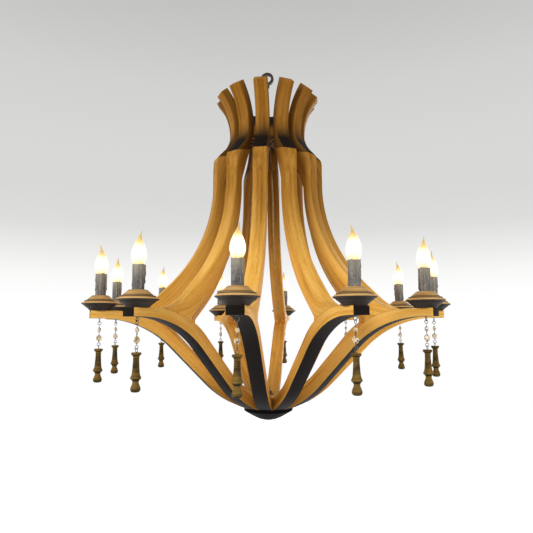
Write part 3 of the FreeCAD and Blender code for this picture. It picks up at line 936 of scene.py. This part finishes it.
@dataclass
class Board:
    """One kind of sawn board, copied from the first rib's node with eased edges."""

    name: str
    node: str
    line: Profile                           # what the fibres follow, mm
    dark: Callable[[float, float, Vector], float]
    shared: bool = False                    # one node holds all twelve
    half_width: float = 20.0                # mm
    margin: float = 0.1                     # beyond its side, where other ribs begin, mm
    on_side: float = 0.01                   # how near an edge lies to the side it is on, mm
    ease: float = 1.3                       # of the long edges, mm
    flat: float = 0.004                     # faces that bend less are one, radians
    arris: float = 40.0                     # edges that bend more are eased, degrees
    sharp: float = 30.0                     # edges that bend more aren't shaded smooth, degrees
    shift: Triple = (0.83, 0.171, 0.097)    # of the grain, from rib to rib, m

    def cut(self) -> bmesh.types.BMesh:
        """Copies the first rib's board from its node, and eases its long edges.

        Returns:
            The board.
        """
        made = bmesh.new()
        made.from_mesh(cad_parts[self.node].data)
        bmesh.ops.remove_doubles(made, verts=made.verts, dist=FRAME_WELD)
        side = self.half_width * MM
        reach = side + self.margin * MM
        others = [v for v in made.verts if abs(v.co.x) > reach or v.co.y > 0.0]
        bmesh.ops.delete(made, geom=others, context="VERTS")
        bmesh.ops.dissolve_limit(made, angle_limit=self.flat, verts=made.verts, edges=made.edges)
        arris = [e for e in made.edges if len(e.link_faces) == 2
                 and e.calc_face_angle(0.0) > math.radians(self.arris)
                 and all(abs(abs(v.co.x) - side) < self.on_side * MM for v in e.verts)]
        bmesh.ops.bevel(made, geom=arris, affect="EDGES", offset=self.ease * MM, segments=2,
                        profile=0.5, material=-1, clamp_overlap=True)
        bmesh.ops.triangulate(made, faces=[f for f in made.faces if len(f.verts) > 4])
        return made

    def pattern(self) -> bpy.types.Mesh:
        """Makes the first rib's board with its grain and painted shade.

        Returns:
            The mesh that the other ribs copy.
        """
        mesh = mesh_of(self.cut(), self.name, self.sharp)
        values: list[float] = []
        for vertex in mesh.vertices:
            run, beside = along(self.line, -vertex.co.y / MM, vertex.co.z / MM + EYE_RISE)
            values += [run * MM, vertex.co.x, beside * MM]
        write(mesh, "grain", Domain.POINT, Kind.VECTOR, values)
        write_painted_shade(mesh, lambda place, normal: self.dark(-place.y / MM, place.z / MM + EYE_RISE,
                                                          normal))
        return mesh

    def at(self, pattern: bpy.types.Mesh, rib: int) -> bpy.types.Mesh:
        """Copies the board to one rib, with its own stretch of grain.

        Args:
            pattern: The first rib's board.
            rib: The rib, from 0.

        Returns:
            The mesh.
        """
        mesh = pattern.copy()
        layer = mesh.attributes["grain"].data
        values = [0.0] * (3 * len(layer))
        layer.foreach_get("vector", values)
        shift = [step * rib for step in self.shift]
        layer.foreach_set("vector", [v + shift[i % 3] for i, v in enumerate(values)])
        mesh.transform(rib_turn(rib))
        return mesh

    def build(self, finish: bpy.types.Material) -> None:
        """Builds this board at every rib.

        Args:
            finish: The wood.
        """
        pattern = self.pattern()
        for rib in range(RIBS):
            number = rib_number(rib)
            node = self.node if self.shared else f"{self.name}_{number}"
            piece(self.at(pattern, rib), f"oiled_{self.name}_{number}", finish, FIXED,
                  node)


@dataclass
class Ribs:
    """Arms, staves and crown slats of all twelve ribs."""

    arm: Board = field(default_factory=lambda: Board(
        "arm", "arm_01", ((515, -29), (450, -31), (400, -43), (350, -69), (230, -172), (170, -225),
                          (76, -290)), ArmShade()))
    stave: Board = field(default_factory=lambda: Board(
        "stave", "stave_01", ((128, 458), (160, 370), (162, 300), (180, 230), (215, 150), (260, 80),
                              (310, 20), (352, -8), (434, -30)), StaveShade()))
    slat: Board = field(default_factory=lambda: Board(
        "slat", "crown_slats", ((157, 664), (122, 610), (103, 550), (108, 505), (142, 458)),
        SlatShade(), shared=True))

    def build(self, finish: bpy.types.Material) -> None:
        """Builds and dresses every board."""
        for board in (self.arm, self.stave, self.slat):
            board.build(finish)


# ---- candles -------------------------------------------------------------------------------------
@dataclass(frozen=True)
class Run:
    """One run of wax: its angle round the sleeve, and its length, width and thickness."""

    angle: float                            # radians
    length: float                           # share of the sleeve's height
    width: float                            # radians
    thick: float                            # mm


@dataclass
class Candles:
    """Saucers, drip sleeves and bulbs, in mm."""

    saucer: Profile = ((0, 22), (20.5, 22), (22.5, 21), (27, 17), (32.5, 12.2), (34.2, 10.9),
                       (34.6, 8.2), (36.2, 7.6), (38.6, 8.8), (40.6, 8.0), (41.2, 5.2), (42.2, 4.2),
                       (44.4, 4.2), (47.4, 2.0), (48.4, 0.4), (48.2, -0.9), (45.5, -2.6),
                       (41.5, -4.2), (40.6, -6.2), (35, -10.2), (29.6, -14.8), (26.2, -19),
                       (0, -19))
    saucer_steps: int = 64
    saucer_sharp: float = 24.0
    # painted shade: the saucers' underside and the flanks of their grooves
    under: float = -0.15                    # normal.z of the dark underside
    under_shade: float = 0.92
    groove: float = 0.5                     # normal.z of the grooves' flanks
    groove_shade: float = 0.7
    groove_foot: float = 2.0                # grooves above this height are dark
    sleeve_radius: float = 14.0
    sleeve_foot: float = 22.0
    sleeve_top: float = 80.0
    sleeve_levels: int = 18
    sleeve_bore: float = 11.9
    bore_depth: float = 14.0
    lip_inset: float = 0.7
    lip_rise: float = 0.5
    lip_bore: float = 12.2
    lip_start: float = 0.97                 # share of the height above which the lip waves
    lip_waves: Span = (0.9, 0.5)            # height of the three and the seven waves round it
    sleeve_steps: int = 56
    sleeve_sharp: float = 50.0
    first_seed: int = 3
    runs: int = 9
    run_length: Span = (0.25, 0.95)
    run_width: Span = (0.13, 0.24)
    run_thick: Span = (1.0, 2.5)
    run_depth: float = 0.6                  # share of its thickness that a run stands out
    end_bead: float = 0.8                   # how much thicker a run is near its end
    end_back: float = 0.06                  # from the bead to the end, share of the height
    end_long: float = 0.07
    most_swell: float = 2.9
    unevenness: float = 0.25
    bulb: Profile = ((0, 66), (7, 66), (8, 70), (9, 79), (12, 84), (15.6, 91), (17.3, 98),
                     (17.5, 104), (16.6, 112), (14.4, 120), (11.4, 128), (8.2, 135), (5.3, 141),
                     (3.3, 146.5), (2.1, 151.5), (1.2, 156.5), (0.5, 160), (0, 160.4))
    bulb_steps: int = 40
    bulb_sharp: float = 60.0
    tip_start: float = 132.0
    tip_lean: float = 5.5
    tip_curve: float = 1.6
    tip_turn: Span = (40.0, 97.0)           # first tip's angle and the next one's turn, degrees

    def saucer_shade(self, place: Vector, normal: Vector) -> float:
        """Says how dark a saucer is painted: painted shade below the rim and in the grooves.

        Args:
            place: The point, on the axis.
            normal: The face's normal.

        Returns:
            Painted shade from 0 to 1.
        """
        if normal.z < self.under:
            return self.under_shade
        in_groove = normal.z < self.groove and place.z > low(self.groove_foot)
        return self.groove_shade if in_groove else 0.0

    def saucers(self, finish: bpy.types.Material) -> None:
        """Turns the saucers: ridges round the boss, a sharp rim and an underside dark with painted
        shade.

        Args:
            finish: The turned wood.
        """
        mesh = mesh_of(revolve(self.saucer, self.saucer_steps), "saucer", self.saucer_sharp)
        lathe_grain(mesh, self.saucer_shade, 0.0)
        for rib in range(RIBS):
            copy = mesh.copy()
            copy.transform(to_candle(rib))
            piece(copy, f"turned_saucer_{rib_number(rib)}", finish, FIXED, "saucers")

    def swell(self, runs: Sequence[Run], angle: float, share: float, seed: int) -> float:
        """Says how far a sleeve stands out at a point, with a bead at the end of each run.

        Args:
            runs: The sleeve's runs of wax.
            angle: Angle round the sleeve, radians.
            share: Share of the sleeve's height.
            seed: The sleeve's own number.

        Returns:
            The distance in mm.
        """
        swell = self.unevenness * math.sin(5 * angle + seed) * math.sin(7 * share + seed)
        down = 1.0 - share
        for run in runs:
            off = abs(math.remainder(angle - run.angle, math.tau))
            if off < run.width and down < run.length:
                from_bead = (down - run.length + self.end_back) / self.end_long
                bead = 1.0 + self.end_bead * math.exp(-from_bead ** 2)
                swell += run.thick * math.cos(off / run.width * math.pi / 2) * bead * self.run_depth
        return min(swell, self.most_swell)

    def sleeve(self, seed: int) -> bmesh.types.BMesh:
        """Casts one drip sleeve: runs of wax down an uneven tube with a ragged lip.

        Args:
            seed: The sleeve's own number.

        Returns:
            The sleeve, on the axis.
        """
        wax = random.Random(seed)
        runs = [Run(wax.uniform(0, math.tau), wax.uniform(*self.run_length),
                    wax.uniform(*self.run_width), wax.uniform(*self.run_thick))
                for _ in range(self.runs)]
        radius, foot, top = self.sleeve_radius, self.sleeve_foot, self.sleeve_top
        height = top - foot
        outer = [(radius, foot + height * level / self.sleeve_levels)
                 for level in range(self.sleeve_levels + 1)]
        inner = [(radius - self.lip_inset, top + self.lip_rise), (self.lip_bore, top),
                 (self.sleeve_bore, top - self.bore_depth), (self.sleeve_bore, foot)]
        wave, ripple = self.lip_waves
        made = revolve(outer + inner, self.sleeve_steps)
        for vertex in made.verts:
            x, y = vertex.co.x, vertex.co.y
            reach = math.hypot(x, y) / MM
            if reach < radius - 1.0:
                continue
            angle, share = math.atan2(y, x), (vertex.co.z - low(foot)) / (height * MM)
            factor = (reach + self.swell(runs, angle, share, seed)) / reach
            vertex.co.x, vertex.co.y = x * factor, y * factor
            if share > self.lip_start:
                rise = wave * math.sin(3 * angle + seed) + ripple * math.sin(7 * angle)
                vertex.co.z += rise * MM
        return made

    def sleeves(self, finish: bpy.types.Material) -> None:
        """Casts the sleeves, each with its own runs.

        Args:
            finish: The wax.
        """
        for rib in range(RIBS):
            mesh = mesh_of(self.sleeve(rib + self.first_seed), "sleeve", self.sleeve_sharp)
            mesh.transform(to_candle(rib))
            piece(mesh, f"drip_sleeve_{rib_number(rib)}", finish, FIXED,
                  "candle_sleeves")

    def bulbs(self, finish: bpy.types.Material) -> None:
        """Blows the bulbs, each with its bent tip turned its own way.

        Args:
            finish: The lit glass.
        """
        tip = (self.bulb[-1][1] - self.tip_start) * MM
        first, step = self.tip_turn
        for rib in range(RIBS):
            made = revolve(self.bulb, self.bulb_steps)
            for vertex in made.verts:
                over = max(vertex.co.z - low(self.tip_start), 0.0) / tip
                vertex.co.x += self.tip_lean * MM * over ** self.tip_curve
            mesh = mesh_of(made, "bulb", self.bulb_sharp)
            twist = Matrix.Rotation(math.radians(step * rib + first), 4, "Z")
            mesh.transform(to_candle(rib) @ twist)
            piece(mesh, f"flame_bulb_{rib_number(rib)}", finish, FIXED, "bulbs")


# ---- hanging strings -----------------------------------------------------------------------------
@dataclass(frozen=True)
class Bead:
    """A faceted bead: its centre's height, its radius, half its height, and its caps' distance."""

    z: float
    radius: float
    half: float
    cap: float
    sides: int = 9
    rows: int = 6

    def glass(self) -> bmesh.types.BMesh:
        """Cuts the bead.

        Returns:
            The bead, on the axis.
        """
        made = bmesh.new()
        bmesh.ops.create_uvsphere(made, u_segments=self.sides, v_segments=self.rows, radius=MM)
        bmesh.ops.scale(made, vec=(self.radius, self.radius, self.half), verts=made.verts)
        bmesh.ops.translate(made, verts=made.verts, vec=(0, 0, low(self.z)))
        return made


@dataclass
class Strings:
    """Crystal strings and the turned drops that hang from them, in mm."""

    small: Bead = Bead(-70.0, 5.0, 6.0, 6.2)
    large: Bead = Bead(-92.0, 7.4, 8.5, 8.6)
    glitter: int = 5                        # seed of the facets' shades
    cap_radius: float = 1.9
    cap_half: float = 0.8
    cap_sides: int = 12
    pin_radius: float = 0.55
    pin_grip: float = 0.3                   # a pin's end goes this far into a link
    link_radius: float = 4.2
    link_wire: float = 0.75
    top_link: float = -52.5
    low_link: float = -108.5
    drop_link: float = -114.8
    middle_radius: float = 1.7
    middle_wire: float = 0.45
    sharp_metal: float = 45.0
    drop_top: float = -119.8
    drop_steps: int = 48
    drop_sharp: float = 60.0
    drop_seed: float = 0.31
    under: Span = (-0.5, 0.75)              # normal.z of a face that looks down, and its painted shade
    leaning: Span = (-0.15, 0.35)           # the same of one that leans
    drop: Profile = ((0, 0), (9.4, 0), (11.1, -1.0), (11.5, -3.0), (10.8, -5.2), (8.3, -7.2),
                     (7.1, -9.6), (6.8, -15), (7.2, -25), (8.0, -37), (8.8, -46), (10.0, -51.5),
                     (11.9, -55.2), (12.5, -57), (11.8, -58.8), (8.9, -61.2), (7.4, -63.6),
                     (7.0, -66.4), (7.4, -69.4), (9.2, -73.6), (10.9, -78), (11.4, -81.6),
                     (10.7, -85), (8.4, -87.4), (4.6, -88.4), (0, -88.5))

    def beads(self) -> bpy.types.Mesh:
        """Cuts both beads, and paints each facet its own shade of glass, from painted shade to
        painted glint.

        Returns:
            The mesh.
        """
        mesh = mesh_of(merged([self.small.glass(), self.large.glass()]), "beads")
        glitter = random.Random(self.glitter)
        by_place = sorted(mesh.polygons, key=lambda face: [round(c, 5) for c in face.center])
        shades = {face.index: glitter.random() for face in by_place}
        write(mesh, "facet", Domain.CORNER, Kind.NUMBER,
              [shades[face.index] for face in mesh.polygons for _ in face.loop_indices])
        return mesh

    def metal(self) -> bpy.types.Mesh:
        """Bends the links and pins of one string, and caps its beads.

        Returns:
            The mesh.
        """
        small, large = self.small, self.large
        caps = [rod(self.cap_radius, z - self.cap_half, z + self.cap_half, self.cap_sides)
                for z in (small.z + small.cap, small.z - small.cap,
                          large.z + large.cap, large.z - large.cap)]
        reach = self.link_radius - self.pin_grip
        pins = [rod(self.pin_radius, small.z, self.top_link - reach),
                rod(self.pin_radius, large.z, small.z),
                rod(self.pin_radius, self.low_link + reach, large.z)]
        links = [ring(self.link_radius, self.link_wire, z, Plane.IN_RIB)
                 for z in (self.top_link, self.low_link)]
        between = (small.z - small.half + large.z + large.half) / 2
        middle = ring(self.middle_radius, self.middle_wire, between, Plane.ACROSS)
        return mesh_of(merged(caps + pins + links + [middle]), "links", self.sharp_metal)

    def drop_shade(self, place: Vector, normal: Vector) -> float:
        """Says how dark a drop is painted: painted shade, darker the more a face looks down.

        Args:
            place: The point, on the axis; not used.
            normal: The face's normal.

        Returns:
            Painted shade from 0 to 1.
        """
        for down, stain in (self.under, self.leaning):
            if normal.z < down:
                return stain
        return 0.0

    def turned(self) -> bpy.types.Mesh:
        """Turns a drop.

        Returns:
            The mesh.
        """
        profile = [(r, self.drop_top + z) for r, z in self.drop]
        mesh = mesh_of(revolve(profile, self.drop_steps), "drop", self.drop_sharp)
        lathe_grain(mesh, self.drop_shade, self.drop_seed)
        return mesh

    def build(self, glass: bpy.types.Material, wire: bpy.types.Material,
              wood: bpy.types.Material) -> None:
        """Builds and hangs every string and drop.

        Args:
            glass: Finish of the beads.
            wire: Finish of the links and pins.
            wood: Finish of the drops.
        """
        beads, metal, turned = self.beads(), self.metal(), self.turned()
        hanger = mesh_of(ring(self.link_radius, self.link_wire, self.drop_link, Plane.ACROSS),
                         "hanger", self.sharp_metal)
        for rib in range(RIBS):
            number = rib_number(rib)
            string, drop = f"crystal_string_{number}", f"turned_drop_{number}"
            for pattern, name, finish, rides, slot, node in (
                    (beads, "cut_beads", glass, "string", Slot.CRYSTAL, string),
                    (metal, "links_and_pins", wire, "string", Slot.IRON, string),
                    (turned, "lathe_drop", wood, "drop", Slot.DROP_WOOD, drop),
                    (hanger, "drop_link", wire, "drop", Slot.IRON, drop)):
                mesh = pattern.copy()
                mesh.transform(to_candle(rib))
                piece(mesh, f"{name}_{number}", finish, f"{rides}_{number}", node)


# ---- hub and iron --------------------------------------------------------------------------------
@dataclass
class Hub:
    """Twelve-sided core that the arms are let into, and the turned dish under it."""

    # painted shade: the core darkened all over and the dish black, under the arms away from the
    # bulbs
    core_shade: float = 0.30
    sharp: float = 30.0
    dish_steps: int = 96
    dish_shade: float = 1.0
    dish_seed: float = 0.77
    dish: Profile = ((0, 0), (70.5, 0), (72.6, -1.2), (73, -3), (73, -8.6), (71.8, -10.8),
                     (69, -12.4), (61, -17), (48, -24.6), (36, -30.6), (25, -35), (14, -37.6),
                     (0, -38))

    def build_core(self, finish: bpy.types.Material) -> None:
        """Gives a copy of the core's own mesh its fibres, which run across the top.

        Args:
            finish: The oiled wood.
        """
        made = bmesh.new()
        made.from_mesh(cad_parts["hub_core"].data)
        bmesh.ops.remove_doubles(made, verts=made.verts, dist=FRAME_WELD)
        mesh = mesh_of(made, "core", self.sharp)
        write(mesh, "grain", Domain.POINT, Kind.VECTOR, [c for v in mesh.vertices for c in v.co])
        write(mesh, "stain", Domain.POINT, Kind.NUMBER, [self.core_shade] * len(mesh.vertices))
        piece(mesh, "oiled_hub_core", finish, FIXED, "hub_core")

    def build_dish(self, finish: bpy.types.Material) -> None:
        """Turns the dish where the frame's dish is.

        Args:
            finish: The black wood, painted shade under the hub.
        """
        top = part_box("hub_dish")[1].z / MM + EYE_RISE
        profile = [(r, top + z) for r, z in self.dish]
        mesh = mesh_of(revolve(profile, self.dish_steps), "dish", self.sharp)
        lathe_grain(mesh, lambda place, normal: self.dish_shade, self.dish_seed)
        piece(mesh, "lathe_dish", finish, FIXED, "hub_dish")


def dress_nodes(finishes: dict[str, bpy.types.Material]) -> None:
    """Gives the frame's own nodes their finishes.

    Args:
        finishes: A finish for each node's name.
    """
    for node, finish in finishes.items():
        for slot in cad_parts[node].material_slots:
            slot.material = finish
        log.info("%s: dressed as %s", node, finish.name)


# ---- studio --------------------------------------------------------------------------------------
@dataclass(frozen=True)
class Lamp:
    """A square soft light that faces the middle of the chandelier."""

    name: str
    spot: Triple
    size: float
    power: float
    aim: Triple = (0.0, 0.0, -0.6)

    def hang(self) -> None:
        """Puts the lamp in the scene."""
        data = bpy.data.lights.new(self.name, "AREA")
        data.size, data.energy = self.size, self.power
        made = bpy.data.objects.new(self.name, data)
        bpy.context.scene.collection.objects.link(made)
        turn = (Vector(self.aim) - Vector(self.spot)).to_track_quat("-Z", "Y")
        made.matrix_world = Matrix.Translation(self.spot) @ turn.to_matrix().to_4x4()


@dataclass
class Studio:
    """Camera, lights, pale floor and the grey sky that fades to white."""

    frame_pixels: float = 533.0
    focal_pixels: float = 493.4
    sensor: float = 36.0                    # mm
    clip: Span = (0.01, 100.0)
    distance: float = 1.5195                # from the axis to the camera, m
    height: float = -0.7978
    azimuth: float = 7.5                    # round the axis from the front, degrees
    pitch: float = 6.94                     # up, degrees
    yaw: float = 0.16
    roll: float = -0.20
    floor: float = -3.4
    floor_radius: float = 16.0
    floor_sides: int = 96
    floor_rough: float = 0.9
    floor_colour: Colour = (0.8, 0.8, 0.8)
    floor_glow: float = 0.93
    light: float = 0.62
    light_colour: Colour = (0.8, 0.8, 0.8)
    white: Colour = (1.0, 1.0, 1.0)
    black: Colour = (0.0, 0.0, 0.0)
    sky_top: tuple[float, Colour] = (0.66, (0.47, 0.47, 0.47))
    sky_foot: float = 0.06
    sky_blue: float = 0.99                  # share of blue in the greys between
    sky: tuple[Span, ...] = ((0.10, 0.95), (0.134, 0.865), (0.194, 0.725), (0.25, 0.69),
                             (0.346, 0.68), (0.45, 0.64), (0.552, 0.555))
    lamps: tuple[Lamp, ...] = (Lamp("key", (-1.8, -2.6, 0.5), 1.6, 68.0),
                               Lamp("fill", (2.6, -1.6, -0.4), 1.8, 30.0),
                               Lamp("back", (0.6, 2.8, -0.2), 2.0, 32.0))

    def camera(self) -> None:
        """Stands the camera where the photograph was taken."""
        data = bpy.data.cameras.new("camera")
        data.sensor_width = self.sensor
        data.lens = self.focal_pixels / self.frame_pixels * self.sensor
        data.clip_start, data.clip_end = self.clip
        made = bpy.data.objects.new("camera", data)
        bpy.context.scene.collection.objects.link(made)
        turn = math.radians(self.azimuth)
        spot = (self.distance * math.sin(turn), -self.distance * math.cos(turn), self.height)
        made.matrix_world = (Matrix.Translation(spot)
                             @ Matrix.Rotation(turn + math.radians(self.yaw), 4, "Z")
                             @ Matrix.Rotation(math.radians(90.0 + self.pitch), 4, "X")
                             @ Matrix.Rotation(math.radians(self.roll), 4, "Z"))
        bpy.context.scene.camera = made

    def world(self) -> None:
        """Even light, with the fading backdrop for the camera, for gloss and through glass."""
        made = bpy.data.worlds.new("studio")
        bpy.context.scene.world = made
        made.use_nodes = True
        nodes = Nodes(made.node_tree)
        greys = [(height, (grey, grey, grey * self.sky_blue)) for height, grey in self.sky]
        stops = [(self.sky_foot, self.white), *greys, self.sky_top]
        fade = nodes.ramp(nodes.up("Generated"), stops)
        lit = nodes.node("ShaderNodeBackground", {}, {"Color": self.light_colour,
                                                      "Strength": self.light})
        backdrop = nodes.node("ShaderNodeBackground", {}, {"Color": fade})
        both = nodes.node("ShaderNodeMixShader", {}, {0: nodes.seen(), 1: lit, 2: backdrop})
        nodes.end("ShaderNodeOutputWorld", both.socket)

    def ground(self) -> None:
        """A plain white floor well below the hub, which keeps a faint shadow."""
        made = bmesh.new()
        bmesh.ops.create_circle(made, cap_ends=True, segments=self.floor_sides,
                                radius=self.floor_radius)
        bmesh.ops.translate(made, verts=made.verts, vec=(0, 0, self.floor))
        mesh = mesh_of(made, "floor")
        paint = Paint("white_floor")
        glow = paint.mix(paint.seen() * self.floor_glow, self.black, self.white)
        mesh.materials.append(paint.surface(
            Base_Color=self.floor_colour, Roughness=self.floor_rough, Emission_Color=glow,
            Emission_Strength=1.0))
        floor = bpy.data.objects.new("floor", mesh)
        bpy.context.scene.collection.objects.link(floor)

    def build(self) -> None:
        """Sets up the studio."""
        self.camera()
        self.world()
        self.ground()
        for lamp in self.lamps:
            lamp.hang()
        bpy.context.scene.view_settings.view_transform = "Standard"


def main() -> None:
    """Builds and dresses the chandelier, then sets up the studio."""
    logging.basicConfig(level=logging.INFO, format="%(message)s")
    oiled = OiledWood().make()
    turned = TurnedWood("saucer_wood", (0.31, 0.170, 0.052), (0.68, 0.41, 0.150),
                        (0.026, 0.0200, 0.0170)).make()
    olive = TurnedWood("drop_wood", (0.030, 0.021, 0.009), (0.250, 0.148, 0.034),
                       (0.010, 0.008, 0.005), rings=700.0, gloss=0.04).make()
    # The dish's near-black wood is painted shade, under the hub away from the bulbs.
    black = TurnedWood("black_wood_in_shade", (0.006, 0.005, 0.0045), (0.014, 0.012, 0.010),
                       (0.006, 0.0055, 0.0055), gloss=0.01).make()
    iron = Metal("black_iron", (0.014, 0.011, 0.009), (0.075, 0.055, 0.040)).make()
    bronzed = Metal("bronzed_iron", (0.030, 0.016, 0.008), (0.135, 0.070, 0.026), 0.5, 0.55).make()
    wire = Metal("bronze_wire", (0.05, 0.045, 0.04), (0.22, 0.2, 0.17), 0.9, 0.3).make()
    brass = Metal("dull_brass", (0.25, 0.17, 0.06), (0.45, 0.33, 0.13), 0.9, 0.35).make()
    Ribs().build(oiled)
    candles = Candles()
    candles.saucers(turned)
    candles.sleeves(DripWax().make())
    candles.bulbs(LitGlass().make())
    Strings().build(CutGlass().make(), wire, olive)
    hub = Hub()
    hub.build_core(oiled)
    hub.build_dish(black)
    dress_nodes({"neck_spider": bronzed, "hanging_rod": iron, "screws_bolt_and_nuts": bronzed,
                 "screw_eyes": wire, "lamp_sockets": brass, "lamp_wires": FlatCable().make()})
    Studio().build()


if __name__ == "__main__":
    main()
